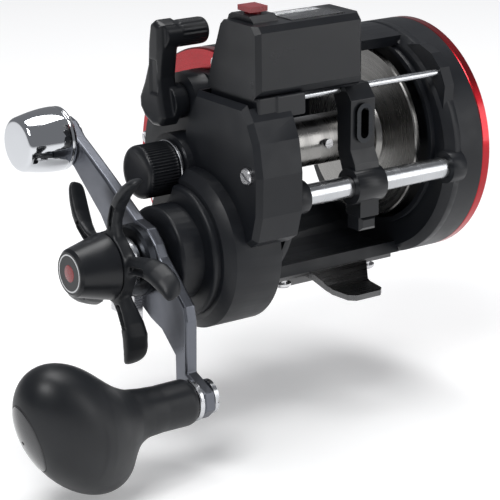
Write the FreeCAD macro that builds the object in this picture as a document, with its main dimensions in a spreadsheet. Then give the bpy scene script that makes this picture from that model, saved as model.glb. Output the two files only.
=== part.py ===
"""A level-wind, line-counting trolling reel, as a parametric document in millimetres.

The spool, its shaft, the crank and the level-wind worm all turn about lines parallel
to X.  -X is the crank side, -Y is the front where the line leaves, and +Z is up.  The
origin is on the underside of the foot, below the middle of the spool.
"""
import FreeCAD, Part
import math
import os
import re
import Sketcher

V = FreeCAD.Vector

DIMENSIONS = [
    ("axis_height", 45.0, "spool axis above the rod seat"),
    ("plate_r", 38.0, "side plate radius"),
    ("plate_drop", 3.2, "side plate centre below the spool axis"),
    ("mouth_r", 29.2, "opening in each frame wall"),
    ("wall_in", 28.6, "inner face of a frame wall from mid spool"),
    ("wall", 4.8, "frame wall thickness"),
    ("bar_thick", 3.6, "thickness of the curved cross bars"),
    ("trim", 3.4, "thickness of a trim ring"),
    ("trim_r", 31.5, "inner radius of a trim ring"),
    ("shell", 1.8, "moulded wall thickness"),
    ("spool_r", 28.0, "spool flange radius"),
    ("spool_w", 50.0, "spool width over the flanges"),
    ("arbor_r", 8.0, "spool arbor radius"),
    ("shaft_r", 2.0, "spool shaft radius"),
    ("drive_fwd", 13.0, "crank axis in front of the spool axis"),
    ("drive_drop", 22.5, "crank axis below the spool axis"),
    ("drum_r", 24.7, "gear drum outer radius"),
    ("drum_out", 56.0, "gear drum face from mid spool"),
    ("nose_r", 15.0, "crank bearing nose radius"),
    ("nose_out", 65.9, "crank bearing nose face from mid spool"),
    ("block_out", 49.3, "front gear block face from mid spool"),
    ("drive_r", 3.5, "drive shaft radius"),
    ("arm_out", 71.6, "outer face of the crank arm from mid spool"),
    ("arm_thick", 4.2, "crank arm thickness"),
    ("worm_fwd", 35.9, "worm axis in front of the spool axis"),
    ("worm_drop", 5.1, "worm axis below the spool axis"),
    ("tube_r", 3.35, "worm tube outer radius"),
    ("worm_r", 2.2, "worm shaft radius"),
    ("rod_fwd", 29.6, "guide rod in front of the spool axis"),
    ("rod_rise", 24.0, "guide rod above the spool axis"),
    ("rod_r", 1.15, "guide rod radius"),
    ("guide_x", -4.6, "middle of the line guide at rest"),
    ("guide_w", 9.4, "width of the line guide stem"),
    ("sleeve_w", 11.0, "length of the line guide sleeve"),
    ("fit_gap", 0.05, "radial running clearance of a shaft"),
    ("gear_x", -37.0, "outer face of the small gear train"),
    ("gear_w", 2.0, "face width of the small gear train"),
    ("lever_fwd", -1.0, "lever pivot in front of the spool axis"),
    ("lever_rise", 20.0, "lever pivot above the spool axis"),
    ("box_left", -45.4, "left face of the counter housing"),
    ("box_right", -6.0, "right face of the counter housing"),
    ("count_fwd", 25.2, "number wheel axis in front of the spool axis"),
    ("count_rise", 34.3, "number wheel axis above the spool axis"),
    ("wheel_r", 7.2, "number wheel radius"),
    ("star_out", 83.4, "outer face of the star wheel from mid spool"),
    ("star_tip", 30.0, "star wheel tip radius"),
    ("knob_fwd", 28.2, "knob axis in front of the crank axis"),
    ("knob_drop", 36.3, "knob axis below the crank axis"),
    ("weight_back", 43.5, "counterweight axis behind the crank axis"),
    ("weight_rise", 28.3, "counterweight axis above the crank axis"),
    ("post_r", 2.5, "knob post radius"),
    ("foot_thick", 1.8, "foot sheet thickness"),
    ("foot_tip_w", 13.6, "width of a foot blade"),
    ("foot_reach", 30.5, "foot blade tip from mid reel"),
    ("foot_x", 2.9, "middle of the foot along the reel"),
]
D = {alias: value for alias, value, note in DIMENSIONS}

TRAIN_MODULE = 0.59934
TRAIN_TEETH = {"spool": 12, "idler": 46, "worm": 17, "step": 30, "count": 24}
DRIVE_TEETH = 52
PINION_TEETH = 13

SPOOL_AXIS = ("0", "axis_height")
PLATE_AXIS = ("0", "axis_height - plate_drop")
DRIVE_AXIS = ("-drive_fwd", "axis_height - drive_drop")
WORM_AXIS = ("-worm_fwd", "axis_height - worm_drop")
ROD_AXIS = ("-rod_fwd", "axis_height + rod_rise")
LEVER_AXIS = ("-lever_fwd", "axis_height + lever_rise")
COUNT_AXIS = ("-count_fwd", "axis_height + count_rise")
KNOB_AXIS = ("-drive_fwd - knob_fwd", "axis_height - drive_drop - knob_drop")
WEIGHT_AXIS = ("-drive_fwd + weight_back", "axis_height - drive_drop + weight_rise")

doc = FreeCAD.newDocument("trolling_reel")
sheet = doc.addObject("Spreadsheet::Sheet", "Dims")
for row, (alias, value, note) in enumerate(DIMENSIONS, 1):
    sheet.set("A%d" % row, note)
    sheet.set("B%d" % row, str(value))
    sheet.setAlias("B%d" % row, alias)
doc.recompute()

PARTS = []


def cell(text):
    """Turn a formula in plain aliases into one that reads the sheet."""
    return re.sub(r"[a-z_]+", lambda m: "Dims." + m.group(0) if m.group(0) in D else m.group(0),
                  str(text))


def number(text):
    """The present value of such a formula."""
    return float(sheet.evalExpression(cell(text)))


def place(part, x, axis, lift="0"):
    """Bind a part's position: x along the reel, axis = (y, z) formulas."""
    part.setExpression("Placement.Base.x", cell(x))
    part.setExpression("Placement.Base.y", cell(axis[0]))
    part.setExpression("Placement.Base.z", cell(axis[1] + " + " + lift))
    return part


def keep(part, label):
    """Mark an object as one of the reel's pieces."""
    part.Label = label
    PARTS.append(part)
    return part


def plane(body, role):
    return [item for item in body.Origin.OriginFeatures if item.Role == role][0]


def new_sketch(body, name, role, offset="0"):
    sketch = body.newObject("Sketcher::SketchObject", name)
    sketch.AttachmentSupport = (plane(body, role), [""])
    sketch.MapMode = "FlatFace"
    sketch.setExpression("AttachmentOffset.Base.z", cell(offset))
    return sketch


def pin(sketch, kind, index, formula):
    """Tie one coordinate of a line's first point to a formula."""
    which = sketch.addConstraint(Sketcher.Constraint(kind, -1, 1, index, 1, number(formula)))
    sketch.setExpression("Constraints[%d]" % which, cell(formula))


def closed_outline(sketch, points):
    """A closed chain of straight lines through points given as formulas."""
    first = sketch.GeometryCount
    spots = [V(number(a), number(b), 0) for a, b in points]
    for here, there in zip(spots, spots[1:] + spots[:1]):
        sketch.addGeometry(Part.LineSegment(here, there))
    for index, (a, b) in enumerate(points):
        after = first + (index + 1) % len(points)
        sketch.addConstraint(Sketcher.Constraint("Coincident", first + index, 2, after, 1))
    for index, (a, b) in enumerate(points):
        pin(sketch, "DistanceX", first + index, a)
        pin(sketch, "DistanceY", first + index, b)


def ring_outline(sketch, centre, radius):
    """A circle whose centre and radius are formulas."""
    middle = V(number(centre[0]), number(centre[1]), 0)
    index = sketch.addGeometry(Part.Circle(middle, V(0, 0, 1), number(radius)))
    for kind, formula in (("DistanceX", centre[0]), ("DistanceY", centre[1])):
        which = sketch.addConstraint(Sketcher.Constraint(kind, -1, 1, index, 3, number(formula)))
        sketch.setExpression("Constraints[%d]" % which, cell(formula))
    which = sketch.addConstraint(Sketcher.Constraint("Radius", index, number(radius)))
    sketch.setExpression("Constraints[%d]" % which, cell(radius))


def extrude(body, name, start, stop, outlines, cut=False):
    """Pad or pocket, along X from start to stop, the outlines drawn in the YZ plane.

    An outline is a list of (y, z) points, or (centre, radius) for a circle.
    """
    sketch = new_sketch(body, name + "_sketch", "YZ_Plane", start)
    for outline in outlines:
        if isinstance(outline, list):
            closed_outline(sketch, outline)
        else:
            ring_outline(sketch, *outline)
    before = body.Shape.Volume if cut else 0
    feature = body.newObject("PartDesign::Pocket" if cut else "PartDesign::Pad", name)
    feature.Profile = sketch
    forward = number(stop) > number(start)
    span = "(%s) - (%s)" % ((stop, start) if forward else (start, stop))
    feature.setExpression("Length", cell(span))
    feature.Reversed = forward if cut else not forward
    doc.recompute()
    if cut and not body.Shape.Volume < before - 0.01:
        raise RuntimeError(name + " cuts nothing")
    return feature


def cut_up(body, name, start, depth, outline):
    """Pocket upwards from z = start, of an outline or a circle drawn in the XY plane."""
    sketch = new_sketch(body, name + "_sketch", "XY_Plane", start)
    if isinstance(outline, list):
        closed_outline(sketch, outline)
    else:
        ring_outline(sketch, *outline)
    before = body.Shape.Volume
    feature = body.newObject("PartDesign::Pocket", name)
    feature.Profile = sketch
    feature.setExpression("Length", cell(depth))
    feature.Reversed = True
    doc.recompute()
    if not body.Shape.Volume < before - 0.01:
        raise RuntimeError(name + " cuts nothing")


def edge_names(shape, test):
    return ["Edge%d" % index for index, edge in enumerate(shape.Edges, 1) if test(edge)]


def soften(body, name, kind, size, test):
    """Fillet or chamfer the edges of a body's latest feature that pass a test."""
    base = body.Tip
    feature = body.newObject("PartDesign::" + kind, name)
    feature.Base = (base, edge_names(base.Shape, test))
    setattr(feature, "Radius" if kind == "Fillet" else "Size", size)
    doc.recompute()
    return feature


def rim(x, radius, centre):
    """Test for a round edge of one radius and centre in the plane at x."""
    def test(edge):
        curve = edge.Curve
        if not isinstance(curve, Part.Circle):
            return False
        middle = curve.Center
        near = abs(curve.Radius - number(radius)) < 0.01 and abs(middle.x - number(x)) < 0.01
        return near and math.hypot(middle.y - number(centre[0]),
                                   middle.z - number(centre[1])) < 0.01
    return test


def turned(label, profile, x, axis):
    """A body of revolution about X; profile lists (station, radius) formulas from x."""
    body = doc.addObject("PartDesign::Body", label)
    sketch = new_sketch(body, label + "_profile", "XY_Plane")
    closed_outline(sketch, profile)
    spin = body.newObject("PartDesign::Revolution", label + "_turn")
    spin.Profile = sketch
    spin.ReferenceAxis = (sketch, ["H_Axis"])
    spin.Angle = 360
    return keep(place(body, x, axis), label)


def tube_profile(length, outer, inner, edge=0.3):
    """Stations and radii of a sleeve, or of a solid pin if inner is 0."""
    return [("0", inner), ("0", "%s - %s" % (outer, edge)), (str(edge), outer),
            ("%s - %s" % (length, edge), outer), (length, "%s - %s" % (outer, edge)),
            (length, inner)]


def sleeve(label, length, outer, inner, x, axis, edge=0.3):
    return turned(label, tube_profile(length, outer, inner, edge), x, axis)


def along_x(shape, x, axis):
    """Copy of a shape moved to x on an axis."""
    moved = shape.copy()
    moved.translate(V(number(x), number(axis[0]), number(axis[1])))
    return moved


def solid_part(label, shape):
    """A piece whose shape the sheet's numbers build in code."""
    part = doc.addObject("Part::Feature", label)
    part.Shape = shape
    return keep(part, label)


def rod_x(radius, length):
    return Part.makeCylinder(number(radius), number(length), V(0, 0, 0), V(1, 0, 0))


# ---------------------------------------------------------------- gears

def gear_blank(module, teeth, width, bore, phase=0.0, slack=0.06):
    """A spur gear about X with involute flanks; phase is the angle of one tooth from +Y."""
    pitch = module * teeth / 2
    base = pitch * math.cos(math.radians(20))
    root = pitch - 1.15 * module
    tip = pitch + 0.8 * module
    low = max(base, root + 0.05)

    def spread(radius):
        angle = math.acos(min(1, base / radius))
        return math.tan(angle) - angle

    half = (math.pi / 2 - slack / module) / teeth + spread(pitch)
    radii = [low + (tip - low) * step / 3 for step in range(4)]
    edges = []
    last = None
    first = None
    for tooth in range(teeth):
        centre = phase + 2 * math.pi * tooth / teeth
        up = [(root, centre - (half - spread(low)) * 1.12)]
        up += [(radius, centre - (half - spread(radius))) for radius in radii]
        down = [(radius, 2 * centre - angle) for radius, angle in reversed(up)]
        spots = [V(0, r * math.cos(a), r * math.sin(a)) for r, a in up + down]
        if last is not None:
            edges.append(Part.makeLine(last, spots[0]))
        else:
            first = spots[0]
        edges += [Part.makeLine(p, q) for p, q in zip(spots, spots[1:])]
        last = spots[-1]
    edges.append(Part.makeLine(last, first))
    blank = Part.Face(Part.Wire(edges)).extrude(V(width, 0, 0))
    return blank.cut(Part.makeCylinder(bore, width, V(0, 0, 0), V(1, 0, 0)))


def direction(start, end):
    """Angle from one axis to another, in the YZ plane from +Y."""
    return math.atan2(number(end[1]) - number(start[1]), number(end[0]) - number(start[0]))


def on_circle(axis, radius, degrees):
    """Axis formulas for a spot on a circle round an axis."""
    turn = math.radians(degrees)
    return ("%s + %.4f * (%s)" % (axis[0], math.cos(turn), radius),
            "%s + %.4f * (%s)" % (axis[1], math.sin(turn), radius))


def beside(axis, target, distance):
    """The axis at a distance from one axis, on the line towards another."""
    turn = direction(axis, target)
    return on_circle(axis, "%.5f" % distance, math.degrees(turn))


def meshed(driver_phase, driver_teeth, teeth, heading):
    """Phase that puts a gear in mesh with its driver, seen along the line of centres."""
    pitch = 2 * math.pi / driver_teeth
    share = ((heading - driver_phase) % pitch) / pitch
    return heading + math.pi + (share + 0.5) * 2 * math.pi / teeth


def reach(one, other):
    """Centre distance of two gears of the small train."""
    return TRAIN_MODULE * (TRAIN_TEETH[one] + TRAIN_TEETH[other]) / 2


IDLER_AXIS = beside(SPOOL_AXIS, WORM_AXIS, reach("spool", "idler"))
STEP_AXIS = on_circle(IDLER_AXIS, "%.5f" % reach("idler", "step"), 114.9)


# ---------------------------------------------------------------- frame and side plates

def make_frame():
    """One moulded piece: two open walls, three curved cross bars and the worm bosses."""
    body = doc.addObject("PartDesign::Body", "frame")
    mouth = (SPOOL_AXIS, "mouth_r")
    plate = (PLATE_AXIS, "plate_r")
    outer = "wall_in + wall"
    extrude(body, "far_wall", "wall_in", outer, [plate, mouth])
    extrude(body, "near_wall", "-wall_in", "-(%s)" % outer, [plate, mouth])
    soften(body, "wall_edges", "Chamfer", 2.4,
           lambda e: rim("wall_in", "plate_r", PLATE_AXIS)(e)
           or rim("-wall_in", "plate_r", PLATE_AXIS)(e))
    lip = (SPOOL_AXIS, "mouth_r + 1.6")
    extrude(body, "far_lip", "wall_in", "wall_in - 1.6", [lip, mouth])
    extrude(body, "near_lip", "-wall_in", "-wall_in + 1.6", [lip, mouth])
    for name, start, stop, in (("bottom", -110, -50), ("top", 68, 108), ("rear", -14, 14)):
        spots = [on_circle(PLATE_AXIS, "plate_r", start + (stop - start) * k / 8)
                 for k in range(9)]
        spots += [on_circle(PLATE_AXIS, "plate_r - bar_thick", stop + (start - stop) * k / 8)
                  for k in range(9)]
        extrude(body, name + "_bar", "-wall_in - 1", "wall_in + 1", [spots])
    extrude(body, "worm_boss_far", "wall_in - 0.6", outer, [(WORM_AXIS, "tube_r + 1.8")])
    extrude(body, "worm_boss_near", "-wall_in + 0.6", "-(%s)" % outer, [(WORM_AXIS, "tube_r + 1.8")])
    ear = [on_circle(PLATE_AXIS, radius, angle) for radius, angle in
           (("plate_r - 2", 112), ("plate_r + 2.6", 121), ("plate_r + 4.2", 129),
            ("plate_r + 4.4", 137), ("plate_r + 3.0", 145), ("plate_r - 2", 156))]
    low_ear = [("-24", "68.5"), ("-27", "70.8"), ("-31", "70.8"), ("-32.4", "68"), ("-31", "64"),
               ("-28", "62")]
    extrude(body, "rod_ear_far", "wall_in + 1.0", outer, [ear])
    extrude(body, "rod_ear_near", "-wall_in - 1.0", "-(%s)" % outer, [low_ear])
    holes = [(WORM_AXIS, "tube_r + fit_gap"), (ROD_AXIS, "rod_r + fit_gap")]
    extrude(body, "rod_holes", "-40", "wall_in + 3", holes, cut=True)
    return keep(body, "frame")


def make_rings():
    """The two red trim rings; the crank side one stops where the gear block covers it."""
    profile = [("0", "trim_r"), ("0", "plate_r - 0.4"), ("0.4", "plate_r"),
               ("trim - 0.5", "plate_r"), ("trim", "plate_r - 0.5"), ("trim", "trim_r")]
    ring = turned("far_side_ring", profile, "wall_in + wall + 8.9", PLATE_AXIS)
    near = doc.addObject("PartDesign::Body", "gear_side_ring")
    outline = [(PLATE_AXIS, "plate_r"), (PLATE_AXIS, "trim_r")]
    extrude(near, "band", "-wall_in - wall", "-wall_in - wall - trim", outline)
    soften(near, "band_edge", "Chamfer", 0.5,
           rim("-wall_in - wall - trim", "plate_r", PLATE_AXIS))
    gap = [("-50", "0"), ("-10.4", "0"), ("-10.4", "90"), ("-50", "90")]
    extrude(near, "block_gap", "-wall_in - wall - trim - 1", "-wall_in", [gap], cut=True)
    return keep(near, "gear_side_ring"), ring


def make_far_side_plate():
    """Dished cover of the far side, with the bearing cup in its middle."""
    profile = [("0", "0"), ("0", "plate_r"), ("8.9", "plate_r"), ("8.9", "trim_r - 0.2"),
               ("10.4", "trim_r - 2.4"), ("11.6", "14"), ("11.6", "0")]
    plate = turned("far_side_plate_blank", profile, "wall_in + wall", PLATE_AXIS)
    PARTS.remove(plate)
    hollow = [("0", "0"), ("0", "30"), ("8.6", "30"), ("10.8", "13"), ("10.8", "0")]
    inside = turned("far_side_plate_hollow", hollow, "wall_in + wall - 1", PLATE_AXIS)
    PARTS.remove(inside)
    shell = doc.addObject("Part::Cut", "far_side_shell")
    shell.Base = plate
    shell.Tool = inside
    cup = doc.addObject("Part::Cylinder", "bearing_cup")
    bore = doc.addObject("Part::Cylinder", "bearing_bore")
    for item, radius, start, length in ((cup, "7.2", "36.4", "7.6"), (bore, "5.05", "30", "10.5")):
        item.setExpression("Radius", cell(radius))
        item.setExpression("Height", cell(length))
        item.Placement = FreeCAD.Placement(V(0, 0, 0), FreeCAD.Rotation(V(0, 1, 0), 90))
        place(item, start, SPOOL_AXIS)
    joined = doc.addObject("Part::Fuse", "far_side_joined")
    joined.Base = shell
    joined.Tool = cup
    slot = doc.addObject("Part::Box", "clicker_slot")
    for side, formula in (("Length", "8"), ("Width", "3.4"), ("Height", "9")):
        slot.setExpression(side, cell(formula))
    place(slot, "40", ("16.3", "axis_height - 10.5"))
    bored = doc.addObject("Part::Cut", "far_side_bored")
    bored.Base = joined
    bored.Tool = bore
    slotted = doc.addObject("Part::Cut", "far_side_plate")
    slotted.Base = bored
    slotted.Tool = slot
    return keep(slotted, "far_side_plate")


def make_bridge_plate():
    """Steel plate that carries the gear studs and the inner end of the drive shaft."""
    body = doc.addObject("PartDesign::Body", "bridge_plate")
    extrude(body, "sheet", "-wall_in - wall", "-wall_in - wall - 1.2",
            [(PLATE_AXIS, "trim_r - 0.3"), (SPOOL_AXIS, "4.9")])
    extrude(body, "shaft_hole", "-wall_in - wall - 2", "-wall_in", [(DRIVE_AXIS, "2.55")], cut=True)
    return keep(body, "bridge_plate")


GEAR_BLOCK = [("-10.4", "70.6"), ("-35.0", "70.6"), ("-38.4", "66"), ("-41.4", "60"), ("-43.2", "50"),
              ("-43.0", "38"), ("-40.8", "30"), ("-36.4", "27.2"), ("-8", "27.2"), ("-4", "40"),
              ("-4", "58"), ("-8", "66")]
BLOCK_HOLLOW = [("-12", "74"), ("-34", "74"), ("-37.2", "66"), ("-40.2", "59"), ("-41.9", "49"),
                ("-41.9", "37"), ("-39.2", "31"), ("-35.8", "29"), ("-9.4", "29"), ("-6", "40"),
                ("-6", "57.4"), ("-9.6", "65.6")]


def make_gear_cover():
    """Moulded gear case: round plate, front block up to the counter, drum and nose."""
    body = doc.addObject("PartDesign::Body", "gear_cover")
    back = "-wall_in - wall"
    extrude(body, "plate", back + " - 1.2", "-40", [(PLATE_AXIS, "trim_r - 0.1")])
    extrude(body, "hump", "-40", "-45.4", [(SPOOL_AXIS, "20")])
    extrude(body, "block", back, "-block_out", [GEAR_BLOCK])
    soften(body, "block_edges", "Chamfer", 1.6,
           lambda e: e.BoundBox.XMax < -number("block_out") + 0.01)
    extrude(body, "drum", back + " - trim", "-drum_out", [(DRIVE_AXIS, "drum_r")])
    soften(body, "drum_edge", "Chamfer", 2.8, rim("-drum_out", "drum_r", DRIVE_AXIS))
    extrude(body, "step", "-drum_out", "-drum_out - 2.2", [(DRIVE_AXIS, "drum_r - 4.4")])
    extrude(body, "nose", "-drum_out - 2.2", "-nose_out", [(DRIVE_AXIS, "nose_r")])
    soften(body, "nose_edge", "Fillet", 1.2, rim("-nose_out", "nose_r", DRIVE_AXIS))
    soften(body, "step_edge", "Fillet", 1.2, rim("-drum_out - 2.2", "drum_r - 4.4", DRIVE_AXIS))
    extrude(body, "knob_boss", "-45.4", "-51.4", [(SPOOL_AXIS, "10.4")])
    extrude(body, "lever_boss", "-40", "-46.6", [(LEVER_AXIS, "8.6")])
    extrude(body, "bridge_seat", back + " + 1", back + " - 1.2", [(PLATE_AXIS, "trim_r - 0.1")],
            cut=True)
    extrude(body, "plate_hollow", back, "-38.4", [(PLATE_AXIS, "trim_r - 1.9")], cut=True)
    extrude(body, "hump_hollow", back, "-43.8", [(SPOOL_AXIS, "18.4")], cut=True)
    extrude(body, "block_hollow", back + " + 1", "-block_out + shell", [BLOCK_HOLLOW], cut=True)
    extrude(body, "drum_hollow", "-38.4", "-48.2", [(DRIVE_AXIS, "drum_r - shell")], cut=True)
    extrude(body, "drum_end_hollow", "-48.2", "-drum_out + shell", [(DRIVE_AXIS, "12.6")],
            cut=True)
    extrude(body, "knob_scallop", "-51.4", "-drum_out - 2.3", [(SPOOL_AXIS, "11.5")], cut=True)
    relief = [("0", "33.8"), ("6.4", "30.6"), ("12", "27.2"), ("16", "34"), ("8", "45")]
    extrude(body, "knob_relief", "-51.4", "-drum_out - 2.3", [relief], cut=True)
    extrude(body, "pinion_room", back, "-49.7", [(SPOOL_AXIS, "6.4")], cut=True)
    extrude(body, "shaft_hole", "-50", "-nose_out - 1", [(DRIVE_AXIS, "drive_r + 0.08")], cut=True)
    extrude(body, "clutch_seat", "-52", "-nose_out + 3", [(DRIVE_AXIS, "8.05")], cut=True)
    extrude(body, "knob_hole", "-40", "-52", [(SPOOL_AXIS, "4.55")], cut=True)
    extrude(body, "lever_hole", "-37", "-47", [(LEVER_AXIS, "2.55")], cut=True)
    return keep(body, "gear_cover")


COUNTER_SIDE = [("-11.4", "71.4"), ("-34.6", "71.0"), ("-37.4", "74.6"), ("-37.0", "91.6"), ("-35.4", "93.4"),
                ("-20.2", "93.4"), ("-18.4", "91.8"), ("-13.9", "79.9")]
COUNTER_HOLLOW = [("-13.0", "69"), ("-34", "69"), ("-35.4", "75.4"), ("-35.2", "91.4"), ("-20.8", "91.4"),
                  ("-16.0", "79.6")]


def make_counter_housing():
    """Hollow box over the level wind, open underneath on the gear side, with a window."""
    body = doc.addObject("PartDesign::Body", "counter_housing")
    extrude(body, "box", "box_left", "box_right", [COUNTER_SIDE])
    soften(body, "upright_edges", "Chamfer", 1.4,
           lambda e: abs(e.BoundBox.XLength) < 0.01 and e.BoundBox.YMax < -35)
    extrude(body, "box_hollow", "box_left + shell", "box_right - shell", [COUNTER_HOLLOW], cut=True)
    extrude(body, "floor", "-31", "box_right - 0.4",
            [[("-12", "71.4"), ("-34.6", "71.0"), ("-35.6", "71.9"), ("-12", "71.9")]])
    collar = [("-16.8", "90"), ("-31.6", "90"), ("-31.0", "93.8"), ("-29.0", "95.2"), ("-20.2", "95.2"),
              ("-18.8", "94.4")]
    extrude(body, "button_collar", "-42.6", "-33.4", [collar])
    extrude(body, "frame_clearance", "-37.2", "-26.8", [(PLATE_AXIS, "plate_r + 0.3")], cut=True)
    cut_up(body, "sight", "80", "20", [("-30.4", "-33.6"), ("-10.4", "-33.6"),
                                       ("-10.4", "-21.6"), ("-30.4", "-21.6")])
    cut_up(body, "button_hole", "80", "20", (("-38.0", "-24.4"), "2.6"))
    return keep(body, "counter_housing")


FOOT_SCREWS = [(x, y) for x in (-14, 20) for y in (-7.5, 7.5)]


def make_foot():
    """Stamped saddle under the lower bar, a seat pad, and blades to the front and rear."""
    thick = number("foot_thick")
    radius = number("plate_r")
    saddle = Part.makeCylinder(radius + 1.2, 47, V(-20, 0, 0), V(1, 0, 0))
    saddle = saddle.cut(Part.makeCylinder(radius, 47, V(-20, 0, 0), V(1, 0, 0)))
    saddle = along_x(saddle, "0", PLATE_AXIS).common(Part.makeBox(60, 24, 20, V(-30, -12, 0)))
    shape = saddle.fuse(Part.makeBox(22, 12, 3.3, V(-11, -6, 0)))
    middle = number("foot_x")
    tip = number("foot_tip_w") / 2
    far = number("foot_reach")
    for side in (-1, 1):
        outline = [V(middle + x, side * y, 0) for x, y in
                   ((-10.0, 10.2), (-tip - 0.6, 20), (-tip, far - 2), (2 - tip, far),
                    (tip - 2, far), (tip, far - 2), (tip + 1.4, 20), (13.4, 12.5), (13.4, 10.2))]
        flat = Part.Face(Part.makePolygon(outline + outline[:1])).extrude(V(0, 0, 7))
        path = [(10.2, 3.8), (12.6, 3.4), (18.5, 0.7), (21.0, 0.0), (far + 1, 0.0),
                (far + 1, thick), (21.4, thick), (18.9, 0.7 + thick), (13.0, 5.6), (10.2, 5.0)]
        side_face = Part.Face(Part.makePolygon([V(-15, side * y, z) for y, z in path + path[:1]]))
        shape = shape.fuse(flat.common(side_face.extrude(V(36, 0, 0))))
    for x, y in FOOT_SCREWS:
        shape = shape.cut(Part.makeCylinder(1.65, 9, V(x, y, 0)))
    return solid_part("foot", shape.removeSplitter())


def make_screws():
    """Slotted screws, in one node for each size."""
    def screw(head_r, head_h, shank_r, shank, slot=0.7):
        head = Part.makeCylinder(head_r, head_h)
        head = head.makeChamfer(head_h * 0.35, [head.Edges[0]])
        head = head.cut(Part.makeBox(head_r * 2, slot, head_h * 0.5,
                                     V(-head_r, -slot / 2, head_h * 0.5)))
        return head.fuse(Part.makeCylinder(shank_r, shank, V(0, 0, -shank)))

    def outward(shape, side, x, axis, turn=0):
        spun = shape.copy()
        spun.rotate(V(0, 0, 0), V(0, 0, 1), turn)
        spun.rotate(V(0, 0, 0), V(0, 1, 0), 90 * side)
        return along_x(spun, x, axis)

    trim_screw = screw(2.1, 1.0, 1.0, 5)
    middle = "(plate_r + trim_r) / 2"
    near = [outward(trim_screw, -1, "-wall_in - wall - trim", on_circle(PLATE_AXIS, middle, angle), 40)
            for angle in (97, 5, -40)]
    far = [outward(trim_screw, 1, "wall_in + wall + 8.9 + trim", on_circle(PLATE_AXIS, middle, angle), 20)
           for angle in (100, -10, -130)]
    solid_part("ring_screws", Part.makeCompound(near + far))
    block_screw = screw(2.6, 1.2, 1.2, 2.4, 0.8)
    solid_part("cover_screws", Part.makeCompound([
        outward(block_screw, -1, start, axis, 60)
        for start, axis in (("-block_out", ("-37.6", "50")), ("-40", ("24", "28")))]))
    foot_screw = screw(2.9, 1.2, 1.6, 4.5, 0.8)
    flipped = foot_screw.copy()
    flipped.rotate(V(0, 0, 0), V(1, 0, 0), 180)
    solid_part("foot_screws", Part.makeCompound([
        flipped.translated(V(x, y, 2.4)) for x, y in FOOT_SCREWS]))


# ---------------------------------------------------------------- spool and drive train

def make_spool():
    """Turned spool with dished flanges, its shaft, line peg and end gears."""
    half = "spool_w / 2"
    flange = "1.5"
    profile = [("0", "shaft_r"), ("0", "6"), ("2.4", "8"), ("1.6", "spool_r - 2.2"),
               ("0", "spool_r - 1.2"), ("0", "spool_r - 0.4"), ("0.4", "spool_r"),
               ("1.6", "spool_r"), ("2.0", "spool_r - 0.4"), ("3.4", "arbor_r + 5.2"),
               ("5.0", "arbor_r + 4.2"), ("5.4", "arbor_r + 0.6"), ("6.2", "arbor_r")]
    mirrored = [("spool_w - (%s)" % s, r) for s, r in reversed(profile)]
    turned("spool", profile + mirrored, "-" + half, SPOOL_AXIS)
    shaft = rod_x("shaft_r", "91.8").translated(V(-51.5, 0, 0))
    cross = Part.makeCylinder(0.6, 7.0, V(-38.2, -3.5, 0), V(0, 1, 0))
    solid_part("spool_shaft", along_x(shaft.fuse(cross), "0", SPOOL_AXIS))
    peg = Part.makeCylinder(1.5, 2.2, V(0, 0, 7.6))
    peg = peg.cut(Part.makeCylinder(0.5, 4, V(-2, 0, 9.2), V(1, 0, 0)))
    peg.rotate(V(0, 0, 0), V(1, 0, 0), 85)
    solid_part("line_peg", along_x(peg, "2.8", SPOOL_AXIS))
    phase = direction(SPOOL_AXIS, IDLER_AXIS)
    cog = gear_blank(TRAIN_MODULE, TRAIN_TEETH["spool"], D["gear_w"], D["shaft_r"], phase)
    hub = Part.makeCylinder(2.9, 9.9, V(D["gear_w"], 0, 0), V(1, 0, 0))
    hub = hub.cut(Part.makeCylinder(D["shaft_r"], 12, V(0, 0, 0), V(1, 0, 0)))
    solid_part("spool_cog", along_x(cog.fuse(hub), "gear_x", SPOOL_AXIS))
    ratchet = gear_blank(1.0, 16, 1.6, D["shaft_r"])
    solid_part("clicker_gear", along_x(ratchet, "32.0", SPOOL_AXIS))


def make_small_train():
    """Gears from the spool to the worm, and on to the number wheels, with their studs."""
    width = D["gear_w"]
    phases = {"spool": direction(SPOOL_AXIS, IDLER_AXIS)}
    phases["idler"] = meshed(phases["spool"], TRAIN_TEETH["spool"], TRAIN_TEETH["idler"],
                             direction(SPOOL_AXIS, IDLER_AXIS))
    phases["worm"] = meshed(phases["idler"], TRAIN_TEETH["idler"], TRAIN_TEETH["worm"],
                            direction(IDLER_AXIS, WORM_AXIS))
    phases["step"] = meshed(phases["idler"], TRAIN_TEETH["idler"], TRAIN_TEETH["step"],
                            direction(IDLER_AXIS, STEP_AXIS))
    phases["count"] = meshed(phases["step"], TRAIN_TEETH["step"], TRAIN_TEETH["count"],
                             direction(STEP_AXIS, COUNT_AXIS))
    for name, label, axis, bore in (("idler", "idler_gear", IDLER_AXIS, 2.05),
                                    ("worm", "worm_gear", WORM_AXIS, 1.5),
                                    ("step", "counter_step_gear", STEP_AXIS, 2.05),
                                    ("count", "counter_input_gear", COUNT_AXIS, 1.55)):
        gear = gear_blank(TRAIN_MODULE, TRAIN_TEETH[name], width, bore, phases[name])
        pitch = TRAIN_MODULE * TRAIN_TEETH[name] / 2
        if pitch > 8:
            for turn in range(5):
                spot = phases[name] + 2 * math.pi * turn / 5
                where = V(0, pitch * 0.58 * math.cos(spot), pitch * 0.58 * math.sin(spot))
                gear = gear.cut(Part.makeCylinder(pitch * 0.17, width, where, V(1, 0, 0)))
        solid_part(label, along_x(gear, "gear_x", axis))
    solid_part("gear_studs", Part.makeCompound([
        along_x(rod_x("2.0", "3.0"), "gear_x - 0.6", IDLER_AXIS),
        along_x(rod_x("2.0", "4.2"), "gear_x - 0.6", STEP_AXIS)]))


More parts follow.
